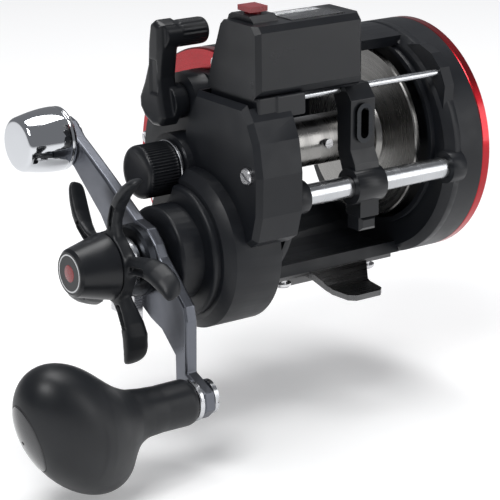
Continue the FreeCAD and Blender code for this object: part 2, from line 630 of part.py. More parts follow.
def make_worm():
    """Worm shaft, cut by rings that lean both ways, in its slotted tube with a bush at each end."""
    core = rod_x("worm_r", "56").translated(V(-28, 0, 0))
    core = core.fuse(rod_x("1.5", "68.8").translated(V(-37.4, 0, 0)))
    ring = rod_x("4.0", "1.0").cut(rod_x("worm_r - 0.6", "1.0"))
    for station in range(-24, 25, 4):
        for lean in (-32, 32):
            groove = ring.copy()
            groove.rotate(V(0, 0, 0), V(0, 0, 1), lean)
            core = core.cut(groove.translated(V(station, 0, 0)))
    solid_part("worm_shaft", along_x(core, "0", WORM_AXIS))
    length = "2 * wall_in + wall + 2.3"
    tube = rod_x("tube_r", length)
    tube = tube.cut(rod_x("worm_r + 0.3", length))
    slot = Part.makeBox(52, 3.2, 5, V(number(length) / 2 - 26, -1.6, -6))
    solid_part("worm_tube", along_x(tube.cut(slot), "-wall_in - wall + 0.6", WORM_AXIS))
    bush = rod_x("worm_r + 0.3", "3.0").cut(rod_x("1.55", "3.0"))
    solid_part("worm_bushes", Part.makeCompound([
        along_x(bush, "-wall_in - wall + 1.2", WORM_AXIS),
        along_x(bush, "wall_in - 0.2", WORM_AXIS)]))
    sleeve("guide_rod", "2 * wall_in + wall + 2", "rod_r", "0", "-wall_in - wall + 0.4", ROD_AXIS)


def make_pinion_and_drive():
    """Main gear pair, drag stack, clutch yoke and drive shaft."""
    module = 2 * math.hypot(D["drive_fwd"], D["drive_drop"]) / (DRIVE_TEETH + PINION_TEETH)
    toward = direction(DRIVE_AXIS, SPOOL_AXIS)
    gear = gear_blank(module, DRIVE_TEETH, 4.5, 6.0, 0.0, 0.09)
    gear = gear.cut(Part.makeCylinder(17, 2.6, V(0, 0, 0), V(1, 0, 0)))
    solid_part("drive_gear", along_x(gear, "-46.5", DRIVE_AXIS))
    phase = meshed(0.0, DRIVE_TEETH, PINION_TEETH, toward)
    bore = D["shaft_r"] + D["fit_gap"]
    teeth = gear_blank(module, PINION_TEETH, 5.4, bore, phase, 0.09)
    neck = Part.makeCylinder(3.4, 1.4, V(5.4, 0, 0), V(1, 0, 0))
    collar = Part.makeCylinder(4.4, 3.2, V(6.8, 0, 0), V(1, 0, 0))
    pinion = teeth.fuse([neck, collar]).cut(Part.makeCylinder(bore, 14, V(0, 0, 0), V(1, 0, 0)))
    slot = Part.makeBox(2.4, 10, 1.6, V(8.6, -5, -0.8))
    solid_part("pinion", along_x(pinion.cut(slot), "-47.6", SPOOL_AXIS))
    yoke = Part.makeBox(1.1, 15, 13, V(0, -7.5, -1.0))
    yoke = yoke.cut(Part.makeCylinder(3.6, 4, V(-1, 0, 0), V(1, 0, 0)))
    yoke = yoke.cut(Part.makeBox(4, 7.2, 4, V(-1, -3.6, -4)))
    yoke.rotate(V(0, 0, 0), V(1, 0, 0), -30)
    solid_part("clutch_yoke", along_x(yoke, "-42.05", SPOOL_AXIS))
    shaft = rod_x("drive_r", "45").translated(V(-81.4, 0, 0))
    shaft = shaft.fuse(rod_x("2.5", "4.2").translated(V(-37.0, 0, 0)))
    shaft = shaft.fuse(rod_x("6.0", "8.2").translated(V(-46.5, 0, 0)))
    solid_part("drive_shaft", along_x(shaft, "0", DRIVE_AXIS))
    disc = rod_x("16.6", "0.6").cut(rod_x("6.0", "0.6"))
    solid_part("drag_washers", Part.makeCompound([
        along_x(disc, x, DRIVE_AXIS) for x in ("-46.4", "-45.0")]))
    steel = rod_x("16.4", "0.8").cut(rod_x("6.0", "0.8"))
    solid_part("drag_plate", along_x(steel, "-45.8", DRIVE_AXIS))
    ratchet = gear_blank(1.9, 12, 1.4, 6.0)
    solid_part("ratchet_gear", along_x(ratchet, "-41.2", DRIVE_AXIS))
    sleeve("anti_reverse_bearing", "6.6", "8.0", "drive_r + fit_gap", "-nose_out + 3.1", DRIVE_AXIS)


def make_bearings():
    ring = rod_x("4.5", "1.6").cut(rod_x("shaft_r + fit_gap", "1.6"))
    far = rod_x("5.0", "3.0").cut(rod_x("shaft_r + fit_gap", "3.0"))
    solid_part("spool_bearings", Part.makeCompound([
        along_x(ring, "-51.4", SPOOL_AXIS), along_x(far, "37.0", SPOOL_AXIS)]))


# ---------------------------------------------------------------- crank, star and knob

def make_crank():
    """Dog-leg crank arm with its counterweight, hub parts and knob post."""
    body = doc.addObject("PartDesign::Body", "crank_arm")
    outline = [("47.4", "23.6"), ("49.8", "27.4"), ("48.4", "32.4"), ("43.5", "34.8"),
               ("40.2", "34.0"), ("35.5", "30.0"), ("26.8", "25.4"), ("17.5", "20.2"),
               ("2.5", "11.4"), ("-3.8", "10.1"), ("-8.2", "6.2"), ("-10.4", "2.8"),
               ("-23.6", "-9.0"), ("-24.6", "-13.4"),
               ("-24.4", "-29.4"), ("-28.4", "-31.0"), ("-33.4", "-33.0"), ("-34.2", "-38.4"),
               ("-30.4", "-42.0"), ("-25.4", "-41.8"), ("-18.4", "-36.4"), ("-18.2", "-25.4"),
               ("-11.2", "-19.4"), ("-5.6", "-17.6"), ("2.2", "-13.4"), ("9.6", "-6.0"),
               ("21.9", "8.4"), ("36.9", "20.2")]
    around = [("%s + %s" % (DRIVE_AXIS[0], y), "%s + %s" % (DRIVE_AXIS[1], z)) for y, z in outline]
    inner = "-arm_out + arm_thick"
    extrude(body, "bar", "-arm_out", inner, [around])
    soften(body, "bar_edges", "Chamfer", 0.6, lambda e: e.BoundBox.XLength < 0.01)
    extrude(body, "shaft_hole", "-arm_out - 1", inner + " + 1", [(DRIVE_AXIS, "drive_r")], cut=True)
    extrude(body, "post_hole", "-arm_out - 1", inner + " + 1", [(KNOB_AXIS, "post_r")], cut=True)
    extrude(body, "weight_hole", "-arm_out - 1", inner + " + 1", [(WEIGHT_AXIS, "2.0")], cut=True)
    keep(body, "crank_arm")
    sleeve("hub_cover", "3.6", "11.0", "drive_r", "-arm_out - 3.6", DRIVE_AXIS, 0.8)
    block = Part.makeBox(3.0, 13, 9, V(0, -1.5, -18.5))
    block = block.cut(Part.makeBox(1.5, 2.2, 5, V(0, 2.0, -17.0)))
    block = block.cut(Part.makeCylinder(11.1, 4, V(-0.5, 0, 0), V(1, 0, 0)))
    solid_part("hub_clip", along_x(block, "-arm_out - 3.0", DRIVE_AXIS))
    sleeve("drag_collar", "4.0", "7.6", "drive_r", "-arm_out - 7.6", DRIVE_AXIS, 0.6)
    weight = [("0", "2.0"), ("0", "7.8"), ("1.0", "9.4"), ("3.4", "10.2"), ("7.6", "9.9"),
              ("11.6", "8.8"), ("13.8", "7.6"), ("15.0", "6.2"), ("15.8", "3.8"), ("16.0", "0"),
              ("4.0", "0"), ("4.0", "2.0")]
    flipped = [("16.0 - (%s)" % s, r) for s, r in weight]
    turned("counterweight", flipped, "-arm_out - 16.0", WEIGHT_AXIS)
    screw = rod_x("2.0", "8.2").translated(V(-4.0, 0, 0))
    screw = screw.fuse(rod_x("4.2", "1.4").translated(V(4.2, 0, 0)))
    screw = screw.cut(Part.makeBox(1, 10, 1.2, V(5.0, -5, -0.6)))
    solid_part("weight_screw", along_x(screw, "-arm_out", WEIGHT_AXIS))
    post = rod_x("post_r", "38").translated(V(-33.8, 0, 0))
    post = post.fuse(rod_x("5.3", "1.4").translated(V(4.2, 0, 0)))
    post = post.cut(Part.makeBox(1.2, 12, 1.2, V(5.0, -6, -0.6)))
    solid_part("knob_post", along_x(post, "-arm_out", KNOB_AXIS))
    sleeve("knob_washer", "1.6", "6.3", "post_r", "-arm_out - 1.6", KNOB_AXIS)


def make_star():
    """Five swept blades on a round hub, and the tapered cap that closes it."""
    shape = rod_x("10.6", "4.0")
    tip = number("star_tip") - 0.4
    low, high = [V(0, tip * math.cos(turn), tip * math.sin(turn))
                 for turn in (math.radians(-5), math.radians(6))]
    swept = [V(0, 9, -5.5), V(0, 17, -6.6), V(0, 24, -5.0), low, V(0, tip + 0.4, 0.6), high,
             V(0, 25, 1.0), V(0, 18, 0.2), V(0, 13.5, 2.6), V(0, 9, 5.5)]
    for turn in range(5):
        blade = Part.Face(Part.makePolygon(swept + swept[:1])).extrude(V(3.4, 0, 0))
        blade = blade.cut(Part.makeBox(5, 6, 1.3, V(-1, 11.5, -3.3)))
        blade.rotate(V(0, 0, 0), V(1, 0, 0), 38 + 72 * turn)
        shape = shape.fuse(blade)
    shape = shape.cut(rod_x("drive_r + 0.06", "8").translated(V(-2, 0, 0)))
    solid_part("star_wheel", along_x(shape.removeSplitter(), "-star_out", DRIVE_AXIS))
    cap = [("0", "0"), ("0", "6.4"), ("0.9", "7.3"), ("12.2", "10.2"), ("12.8", "9.6"),
           ("12.8", "4.2"), ("1.8", "4.2"), ("1.8", "0")]
    turned("star_cap", cap, "-star_out - 12.8", DRIVE_AXIS)


def make_knob():
    """Soft grip: a round neck that swells into a tilted egg, on two bushes."""
    neck = [(0, 6.6), (-2.0, 7.1), (-9.0, 6.9), (-16, 7.6), (-24, 10.0), (-27.5, 11.5)]
    edges = Part.makePolygon([V(x, r, 0) for x, r in reversed([(0, 0)] + neck + [(-27.5, 0), (0, 0)])])
    grip = Part.Face(edges).revolve(V(0, 0, 0), V(1, 0, 0), 360)
    oval = [V(24.8 * math.cos(turn), 15.0 * math.sin(turn), 0)
            for turn in [math.pi * step / 18 for step in range(19)]]
    egg = Part.Face(Part.makePolygon(oval + oval[:1])).revolve(V(0, 0, 0), V(1, 0, 0), 360)
    egg.rotate(V(0, 0, 0), V(0, 1, 0), 53)
    egg.translate(V(-39.0, 0, 0.3))
    grip = grip.fuse(egg)
    grip = grip.cut(rod_x("post_r + 0.9", "33.4").translated(V(-33.0, 0, 0)))
    grip.rotate(V(0, 0, 0), V(1, 0, 0), 8)
    solid_part("knob_grip", along_x(grip, "-arm_out - 1.9", KNOB_AXIS))
    bush = rod_x("post_r + 0.9", "4").cut(rod_x("post_r + fit_gap", "4"))
    solid_part("knob_bushes", Part.makeCompound([
        along_x(bush, "-arm_out - 6.2", KNOB_AXIS), along_x(bush, "-arm_out - 34.4", KNOB_AXIS)]))


# ---------------------------------------------------------------- small controls

def make_tension_knob():
    body = doc.addObject("PartDesign::Body", "tension_knob")
    extrude(body, "cap", "-53.0", "-64.0", [(SPOOL_AXIS, "8.3")])
    soften(body, "cap_edge", "Fillet", 1.8, rim("-64.0", "8.3", SPOOL_AXIS))
    extrude(body, "thread", "-51.6", "-53.0", [(SPOOL_AXIS, "4.5")])
    rib = [on_circle(SPOOL_AXIS, radius, angle) for radius, angle in
           (("8.9", -2.4), ("8.9", 2.4), ("7.4", 1.6), ("7.4", -1.6))]
    notch = extrude(body, "rib_gap", "-52.9", "-61.6", [rib], cut=True)
    spread = body.newObject("PartDesign::PolarPattern", "rib_gaps")
    spread.Originals = [notch]
    spread.Axis = (notch.Profile[0], ["N_Axis"])
    spread.Angle = 360
    spread.Occurrences = 36
    body.Tip = spread
    doc.recompute()
    keep(body, "tension_knob")
    sleeve("tension_ring", "1.0", "8.5", "4.6", "-52.8", SPOOL_AXIS, 0.2)


LEVER_STEM = [("-2.0", "58.6"), ("2.4", "58.2"), ("6.6", "60.0"), ("9.2", "63.0"), ("9.4", "66.2"),
              ("6.8", "71.2"), ("4.6", "77.0"), ("4.2", "84.0"), ("3.2", "89.4"), ("0.8", "91.0"),
              ("-2.0", "89.4"), ("-2.2", "82.0"), ("-0.8", "73.0"), ("-2.2", "66.0"), ("-3.6", "61.4")]


def make_lever():
    """Free-spool lever: paddle on its pivot pin, upright stem and inward finger bar."""
    body = doc.addObject("PartDesign::Body", "free_spool_lever")
    extrude(body, "stem", "-56.4", "-49.2", [LEVER_STEM])
    soften(body, "stem_edges", "Fillet", 1.0, lambda e: e.BoundBox.XMax < -56.39)
    bar = [on_circle(("0.6", "86.0"), "4.2", angle) for angle in range(0, 360, 30)]
    extrude(body, "finger_bar", "-49.4", "-38.4", [bar])
    extrude(body, "pivot", "-49.4", "-38.0", [(LEVER_AXIS, "2.5")])
    extrude(body, "pivot_collar", "-49.4", "-47.0", [(LEVER_AXIS, "5.5")])
    keep(body, "free_spool_lever")


def make_counter():
    """Three number wheels on one axle, lens and reset button."""
    wheel = rod_x("wheel_r", "6.0").cut(rod_x("wheel_r - 1.4", "1.2"))
    wheel = wheel.cut(rod_x("wheel_r - 1.4", "1.2").translated(V(4.8, 0, 0)))
    wheel = wheel.fuse(rod_x("2.6", "6.0")).cut(rod_x("1.55", "6.0"))
    for place_in_row, label in enumerate(("counter_hundreds", "counter_tens", "counter_units")):
        x = "%.1f" % (-28.2 + 6.2 * place_in_row)
        solid_part(label, along_x(wheel, x, COUNT_AXIS))
    sleeve("counter_axle", "box_right - box_left - 2 * shell", "1.5", "0", "box_left + shell",
           COUNT_AXIS, 0.2)
    lens = Part.makeBox(19.9, 11.9, 2.4, V(-30.35, -33.55, 91.2))
    solid_part("counter_window", lens.makeFillet(0.5, lens.Edges[4:8]))
    button = Part.makeCylinder(2.5, 7.6, V(-38.0, -24.4, 89.4))
    button = button.fuse(Part.makeCylinder(3.6, 1.0, V(-38.0, -24.4, 88.9)))
    button = button.fuse(Part.makeBox(6.2, 6.6, 1.6, V(-41.1, -27.7, 95.9)))
    solid_part("reset_button", button)


def make_line_guide():
    """Carriage on the worm tube and guide rod, with its eye, pawl and pawl cap."""
    body = doc.addObject("PartDesign::Body", "line_guide")
    left = "guide_x - guide_w / 2"
    right = "guide_x + guide_w / 2"
    stem = [("-38.5", "43.0"), ("-32.0", "43.0"), ("-29.2", "50"), ("-28.8", "62"),
            ("-26.6", "67.4"), ("-27.0", "70.6"), ("-32.0", "70.6"), ("-35.5", "66.4"),
            ("-35.5", "51"), ("-37.6", "47")]
    extrude(body, "stem", left, right, [stem])
    extrude(body, "sleeve", "guide_x - sleeve_w / 2", "guide_x + sleeve_w / 2",
            [(WORM_AXIS, "tube_r + 2.3")])
    extrude(body, "pawl_neck", "guide_x - 3.6", "guide_x + 3.6",
            [[("-39.4", "40"), ("-32.4", "40"), ("-32.4", "30.3"), ("-39.4", "30.3")]])
    holes = [(WORM_AXIS, "tube_r + 0.08"), (ROD_AXIS, "rod_r + 0.08")]
    extrude(body, "tube_hole", "guide_x - 7", "guide_x + 7", holes, cut=True)
    cut_up(body, "pawl_hole", "28", "9.4", (("guide_x", WORM_AXIS[0]), "1.35"))
    cut_up(body, "pawl_seat", "28", "3.8", (("guide_x", WORM_AXIS[0]), "2.25"))
    eye = new_sketch(body, "eye_sketch", "XZ_Plane", "25")
    closed_outline(eye, oblong("guide_x", "59.2", "5.46", "2.26"))
    opening = body.newObject("PartDesign::Pocket", "eye")
    opening.Profile = eye
    opening.Length = 30
    opening.Reversed = True
    doc.recompute()
    keep(body, "line_guide")
    insert = flat_oblong(5.4, 2.2, 7.9).cut(flat_oblong(4.8, 1.5, 7.9))
    front = flat_oblong(6.2, 3.0, 1.0).cut(flat_oblong(4.8, 1.5, 1.0))
    insert = insert.fuse(front)
    insert.translate(V(number("guide_x"), -36.5, 59.2))
    solid_part("guide_insert", insert)
    pawl = Part.makeCylinder(1.3, 7.2, V(0, 0, -9.6))
    pawl = pawl.fuse(Part.makeCylinder(2.2, 1.4, V(0, 0, -9.6)))
    solid_part("guide_pawl", along_x(pawl, "guide_x", WORM_AXIS))
    cap = Part.makeBox(6.4, 6.4, 4.4, V(-3.2, -3.2, -14.0))
    cap = cap.makeChamfer(1.0, [cap.Edges[k] for k in (0, 4, 8, 9)])
    solid_part("pawl_cap", along_x(cap, "guide_x", WORM_AXIS))


def oblong(x, z, half_length, half_width):
    """Outline of an upright slot with round ends, in the XZ plane."""
    spots = []
    for end, start in ((1, 0), (-1, 180)):
        middle = "%s + %d * (%s - %s)" % (z, end, half_length, half_width)
        spots += [on_circle((x, middle), half_width, start + 22.5 * k) for k in range(9)]
    return spots


def flat_oblong(half_length, half_width, depth):
    """A slot-shaped bar that runs back along +Y."""
    straight = half_length - half_width
    bar = Part.makeBox(2 * half_width, depth, 2 * straight, V(-half_width, 0, -straight))
    for end in (-1, 1):
        bar = bar.fuse(Part.makeCylinder(half_width, depth, V(0, 0, end * straight), V(0, 1, 0)))
    return bar.removeSplitter()


def make_clicker():
    """Sliding alarm button of the far side, with its tongue."""
    button = Part.makeCylinder(4.0, 2.4, V(45.4, 18, 39.5), V(1, 0, 0))
    button = button.makeChamfer(0.6, [button.Edges[0]])
    stem = Part.makeBox(12.8, 2.8, 3.2, V(33.4, 16.6, 37.9))
    tongue = Part.makeBox(1.2, 10.2, 1.4, V(32.4, 9.2, 38.8))
    solid_part("clicker_button", button.fuse([stem, tongue]))


# ---------------------------------------------------------------- build and write

make_frame()
make_rings()
make_far_side_plate()
make_bridge_plate()
make_gear_cover()
make_counter_housing()
make_foot()
make_screws()
make_spool()
make_small_train()
make_worm()
make_pinion_and_drive()
make_bearings()
make_crank()
make_star()
make_knob()
make_tension_knob()
make_lever()
make_counter()
make_line_guide()
make_clicker()
doc.recompute()

for item in doc.Objects:
    if "Invalid" in item.State or "Error" in item.State:
        raise RuntimeError("%s failed: %s" % (item.Label, item.State))
for part in PARTS:
    if part.Shape.isNull() or not part.Shape.isValid():
        raise RuntimeError(part.Label + " has no valid shape")

os.makedirs("parts", exist_ok=True)
for part in PARTS:
    part.Shape.exportStep("parts/%s.step" % part.Label)
print(len(PARTS), "pieces written")
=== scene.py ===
"""Looks for the level-wind trolling reel: finishes, moulded skins, light and camera."""
import math

import bmesh
import bpy
import numpy as np
import openvdb
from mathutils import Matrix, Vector


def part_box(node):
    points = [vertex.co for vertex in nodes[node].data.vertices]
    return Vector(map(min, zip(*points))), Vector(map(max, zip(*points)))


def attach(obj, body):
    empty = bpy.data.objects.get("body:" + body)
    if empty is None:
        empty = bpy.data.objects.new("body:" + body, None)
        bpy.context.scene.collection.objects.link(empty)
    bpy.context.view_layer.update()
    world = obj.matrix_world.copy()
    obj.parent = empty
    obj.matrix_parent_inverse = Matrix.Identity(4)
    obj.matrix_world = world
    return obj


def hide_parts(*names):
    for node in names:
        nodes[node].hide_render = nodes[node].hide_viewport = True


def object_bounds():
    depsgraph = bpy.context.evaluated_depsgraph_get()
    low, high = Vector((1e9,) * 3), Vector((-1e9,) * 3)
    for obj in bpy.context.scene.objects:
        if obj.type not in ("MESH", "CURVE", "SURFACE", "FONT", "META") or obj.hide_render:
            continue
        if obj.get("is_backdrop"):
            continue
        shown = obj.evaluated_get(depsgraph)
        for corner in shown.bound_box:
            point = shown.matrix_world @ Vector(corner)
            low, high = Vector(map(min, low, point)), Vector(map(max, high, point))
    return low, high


MM = 0.001
SPOOL_AXIS = (0.0, 45.0)
DRIVE_AXIS = (-13.0, 22.5)
KNOB_AXIS = (-41.2, -13.8)
ARM_TOP = (30.5, 50.8)
WORM_AXIS = (-35.9, 39.9)
ROD_AXIS = (-29.6, 69.0)

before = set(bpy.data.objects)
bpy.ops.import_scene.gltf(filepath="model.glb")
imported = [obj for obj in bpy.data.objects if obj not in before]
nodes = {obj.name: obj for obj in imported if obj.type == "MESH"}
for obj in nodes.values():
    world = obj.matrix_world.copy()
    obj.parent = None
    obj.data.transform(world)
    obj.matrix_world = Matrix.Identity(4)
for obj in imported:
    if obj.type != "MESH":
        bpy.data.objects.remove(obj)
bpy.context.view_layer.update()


# ---------------------------------------------------------------- node helpers

class Surface:
    """A node material, built up from a principled shader and the object's own coordinates."""

    def __init__(self, name, colour, roughness, metallic=0.0, **extra):
        self.material = bpy.data.materials.new(name)
        self.material.use_nodes = True
        self.tree = self.material.node_tree
        self.shader = self.tree.nodes["Principled BSDF"]
        self.colour = colour
        self.roughness = roughness
        self.set("Base Color", (*colour, 1.0))
        self.set("Roughness", roughness)
        self.set("Metallic", metallic)
        for socket, value in extra.items():
            self.set(socket.replace("_", " "), value)
        self.place = self.node("ShaderNodeTexCoord").outputs["Object"]
        self.bumped = None

    def node(self, kind, **settings):
        made = self.tree.nodes.new(kind)
        for key, value in settings.items():
            setattr(made, key, value)
        return made

    def link(self, source, target):
        self.tree.links.new(source, target)

    def set(self, socket, value):
        self.shader.inputs[socket].default_value = value

    def math(self, operation, first, second=None):
        made = self.node("ShaderNodeMath", operation=operation)
        for slot, value in enumerate((first, second)):
            if value is None:
                continue
            if isinstance(value, (int, float)):
                made.inputs[slot].default_value = value
            else:
                self.link(value, made.inputs[slot])
        return made.outputs[0]

    def stretched(self, scale, turn=(0.0, 0.0, 0.0), place=None):
        made = self.node("ShaderNodeMapping", vector_type="POINT")
        made.inputs["Scale"].default_value = scale
        made.inputs["Rotation"].default_value = turn
        self.link(place or self.place, made.inputs["Vector"])
        return made.outputs["Vector"]

    def turned(self, axis):
        """Coordinates (along the axis, distance from it), for marks that a lathe leaves."""
        split = self.node("ShaderNodeSeparateXYZ")
        self.link(self.place, split.inputs[0])
        across = self.math("SUBTRACT", split.outputs["Y"], axis[0] * MM)
        up = self.math("SUBTRACT", split.outputs["Z"], axis[1] * MM)
        square = self.math("ADD", self.math("MULTIPLY", across, across),
                           self.math("MULTIPLY", up, up))
        joined = self.node("ShaderNodeCombineXYZ")
        self.link(split.outputs["X"], joined.inputs["X"])
        self.link(self.math("SQRT", square), joined.inputs["Y"])
        return joined.outputs[0]

    def noise(self, scale, detail=3.0, place=None):
        made = self.node("ShaderNodeTexNoise")
        made.inputs["Scale"].default_value = scale
        made.inputs["Detail"].default_value = detail
        self.link(place or self.place, made.inputs["Vector"])
        return made.outputs["Fac"]

    def spread(self, source, low, high):
        """The middle of a noise's range, spread from low to high."""
        made = self.node("ShaderNodeMapRange")
        for socket, value in (("From Min", 0.3), ("From Max", 0.7), ("To Min", low), ("To Max", high)):
            made.inputs[socket].default_value = value
        self.link(source, made.inputs["Value"])
        return made.outputs["Result"]

    def vary_roughness(self, source, amount):
        low, high = self.roughness - amount, self.roughness + amount
        self.link(self.spread(source, low, high), self.shader.inputs["Roughness"])

    def vary_colour(self, source, other):
        ramp = self.node("ShaderNodeValToRGB")
        ramp.color_ramp.elements[0].position = 0.32
        ramp.color_ramp.elements[0].color = (*self.colour, 1.0)
        ramp.color_ramp.elements[1].position = 0.7
        ramp.color_ramp.elements[1].color = (*other, 1.0)
        self.link(source, ramp.inputs["Fac"])
        self.link(ramp.outputs["Color"], self.shader.inputs["Base Color"])

    def bump(self, source, strength, depth):
        made = self.node("ShaderNodeBump")
        made.inputs["Strength"].default_value = strength
        made.inputs["Distance"].default_value = depth * MM
        self.link(source, made.inputs["Height"])
        if self.bumped:
            self.link(self.bumped, made.inputs["Normal"])
        self.bumped = made.outputs["Normal"]
        self.link(self.bumped, self.shader.inputs["Normal"])


def moulded(name, colour, other, roughness, grain=2600, depth=0.02, **extra):
    """Moulded plastic or rubber: fine grain, a slow drift in gloss, faint handling marks."""
    made = Surface(name, colour, roughness, **extra)
    made.vary_colour(made.noise(55, 4), other)
    made.vary_roughness(made.noise(120, 5), 0.06)
    made.bump(made.noise(grain, 2), 0.35, depth)
    made.bump(made.noise(210, 2), 0.25, 0.05)
    return made


def brushed(name, colour, other, roughness, turn=(0.0, 0.0, 0.0), along=60, across=5200):
    """Metal with hairlines along its own X direction after the turn."""
    made = Surface(name, colour, roughness, 1.0)
    hairs = made.noise(1.0, 3, made.stretched((along, across, across), turn))
    made.vary_roughness(hairs, 0.09)
    made.vary_colour(made.noise(90, 3), other)
    made.bump(hairs, 0.3, 0.012)
    return made


def lathed(name, colour, other, roughness, axis, along=400, radial=1300, depth=0.004, **extra):
    """Turned metal: fine rings round an axis parallel to X."""
    made = Surface(name, colour, roughness, 1.0, **extra)
    rings = made.noise(1.0, 2, made.stretched((along, radial, 1.0), place=made.turned(axis)))
    made.vary_roughness(rings, 0.05)
    made.vary_colour(made.noise(70, 3), other)
    made.bump(rings, 0.15, depth)
    return made


ARM_TURN = math.atan2(ARM_TOP[1] - KNOB_AXIS[1], ARM_TOP[0] - KNOB_AXIS[0])

case_black = moulded("case_black", (0.0065, 0.0075, 0.010), (0.009, 0.0105, 0.0135), 0.40,
                     Specular_IOR_Level=0.3)
soft_black = moulded("soft_black", (0.0065, 0.0075, 0.0095), (0.009, 0.0105, 0.013), 0.42, grain=3200,
                     Specular_IOR_Level=0.36, Sheen_Weight=0.04, Sheen_Roughness=0.4)
smooth_black = moulded("smooth_black", (0.0065, 0.0075, 0.0095), (0.009, 0.010, 0.0125), 0.33, grain=4200,
                       depth=0.008, Specular_IOR_Level=0.36)
inlay_black = moulded("inlay_black", (0.012, 0.013, 0.015), (0.016, 0.017, 0.02), 0.20, grain=5200,
                      depth=0.004, Coat_Weight=0.4, Coat_Roughness=0.12)
# Darkest black, painted shade: it stands for the shadow in the seam round the knob cap and inside its vent hole.
painted_shade_black = moulded("painted_shade_black", (0.004, 0.004, 0.005), (0.006, 0.006, 0.007), 0.55)
ring_red = lathed("ring_red", (0.42, 0.010, 0.018), (0.34, 0.007, 0.013), 0.26, (0.0, 41.8),
                  Coat_Weight=0.5, Coat_Roughness=0.08)
chrome = Surface("chrome", (0.62, 0.635, 0.66), 0.045, 1.0)
chrome.vary_roughness(chrome.noise(180, 5), 0.025)
chrome.bump(chrome.noise(40, 1), 0.02, 0.01)
bright_steel = lathed("bright_steel", (0.50, 0.51, 0.525), (0.44, 0.45, 0.465), 0.27, ROD_AXIS,
                      220, 0.0, 0.002)
worm_steel = lathed("worm_steel", (0.50, 0.51, 0.525), (0.44, 0.45, 0.465), 0.25, WORM_AXIS,
                    220, 0.0, 0.002)
screw_steel = brushed("screw_steel", (0.64, 0.64, 0.65), (0.5, 0.5, 0.52), 0.28, across=2600)
arm_grey = brushed("arm_grey", (0.15, 0.157, 0.178), (0.125, 0.132, 0.152), 0.36,
                   (-ARM_TURN, 0.0, 0.0), 5200, 90)
foot_steel = brushed("foot_steel", (0.13, 0.13, 0.132), (0.10, 0.10, 0.102), 0.30,
                     (0.0, 0.0, math.pi / 2), 60, 2400)
spool_silver = lathed("spool_silver", (0.27, 0.265, 0.255), (0.22, 0.215, 0.21), 0.27, SPOOL_AXIS,
                      260, 700, 0.003)
hub_grey = lathed("hub_grey", (0.035, 0.038, 0.044), (0.028, 0.03, 0.035), 0.34, DRIVE_AXIS)
guide_dark = brushed("guide_dark", (0.03, 0.032, 0.036), (0.045, 0.047, 0.05), 0.24)
collar_steel = lathed("collar_steel", (0.62, 0.63, 0.65), (0.5, 0.51, 0.53), 0.25, DRIVE_AXIS)
inner_steel = brushed("inner_steel", (0.46, 0.46, 0.47), (0.36, 0.36, 0.37), 0.34)
brass = lathed("brass", (0.62, 0.42, 0.16), (0.5, 0.33, 0.12), 0.30, DRIVE_AXIS)
acetal = moulded("acetal", (0.60, 0.60, 0.57), (0.66, 0.66, 0.63), 0.38, Subsurface_Weight=0.05)
wheel_white = moulded("wheel_white", (0.68, 0.68, 0.65), (0.74, 0.74, 0.71), 0.36)
button_red = moulded("button_red", (0.30, 0.008, 0.014), (0.25, 0.006, 0.011), 0.26, Coat_Weight=0.3)
fibre = Surface("drag_fibre", (0.05, 0.05, 0.05), 0.5)
weave = fibre.node("ShaderNodeTexChecker")
weave.inputs["Scale"].default_value = 1100
fibre.link(fibre.place, weave.inputs["Vector"])
fibre.bump(weave.outputs["Fac"], 0.4, 0.05)
fibre.vary_roughness(weave.outputs["Fac"], 0.12)
glass = Surface("lens", (0.86, 0.88, 0.90), 0.05, Transmission_Weight=1.0, IOR=1.45)
glass.vary_roughness(glass.noise(300, 4), 0.02)
glass.bump(glass.noise(120, 2), 0.05, 0.05)

LOOKS = {
    case_black: ["frame", "far_side_plate", "gear_cover"],
    smooth_black: ["counter_housing", "line_guide", "tension_knob", "star_cap", "free_spool_lever",
                   "clicker_button", "pawl_cap"],
    soft_black: ["star_wheel", "knob_grip"],
    ring_red: ["gear_side_ring", "far_side_ring"],
    chrome: ["counterweight"],
    bright_steel: ["guide_rod"],
    guide_dark: ["guide_insert"],
    worm_steel: ["worm_tube", "worm_shaft"],
    screw_steel: ["cover_screws", "ring_screws", "foot_screws", "weight_screw", "hub_clip", "line_peg"],
    arm_grey: ["crank_arm"],
    hub_grey: ["hub_cover"],
    collar_steel: ["drag_collar", "knob_post", "knob_washer", "tension_ring"],
    foot_steel: ["foot"],
    spool_silver: ["spool"],
    inner_steel: ["bridge_plate", "anti_reverse_bearing", "counter_axle", "gear_studs", "spool_bearings",
                  "spool_shaft", "drive_shaft", "ratchet_gear", "drag_plate", "clutch_yoke", "guide_pawl"],
    brass: ["drive_gear", "pinion"],
    acetal: ["worm_bushes", "spool_cog", "clicker_gear", "worm_gear", "idler_gear", "counter_step_gear",
             "counter_input_gear", "knob_bushes"],
    wheel_white: ["counter_units", "counter_tens", "counter_hundreds"],
    button_red: ["reset_button"],
    fibre: ["drag_washers"],
    glass: ["counter_window"],
}
for look, names in LOOKS.items():
    for name in names:
        nodes[name].data.materials[0] = look.material


HARD_EDGE = math.radians(28)
EASED = {"counter_housing": 0.5, "line_guide": 0.35, "reset_button": 0.5, "crank_arm": 0.35, "gear_cover": 0.4,
         "foot": 0.2, "frame": 0.3, "clicker_button": 0.3}


def ease_edges(name, width):
    """Rounds the hard edges of a CAD node's own mesh with modifiers."""
    weld = nodes[name].modifiers.new("weld", "WELD")
    weld.merge_threshold = 0.002 * MM
    bevel = nodes[name].modifiers.new("eased", "BEVEL")
    bevel.limit_method = "ANGLE"
    bevel.angle_limit = HARD_EDGE
    bevel.width = width * MM
    bevel.segments = 2
    bevel.harden_normals = True


for name, width in EASED.items():
    ease_edges(name, width)


# ---------------------------------------------------------------- moulded skins

def blend(first, second, radius):
    """Distance to two shapes joined with a fillet of about this radius."""
    mix = np.clip(0.5 + 0.5 * (second - first) / radius, 0.0, 1.0)
    return second * (1.0 - mix) + first * mix - radius * mix * (1.0 - mix)


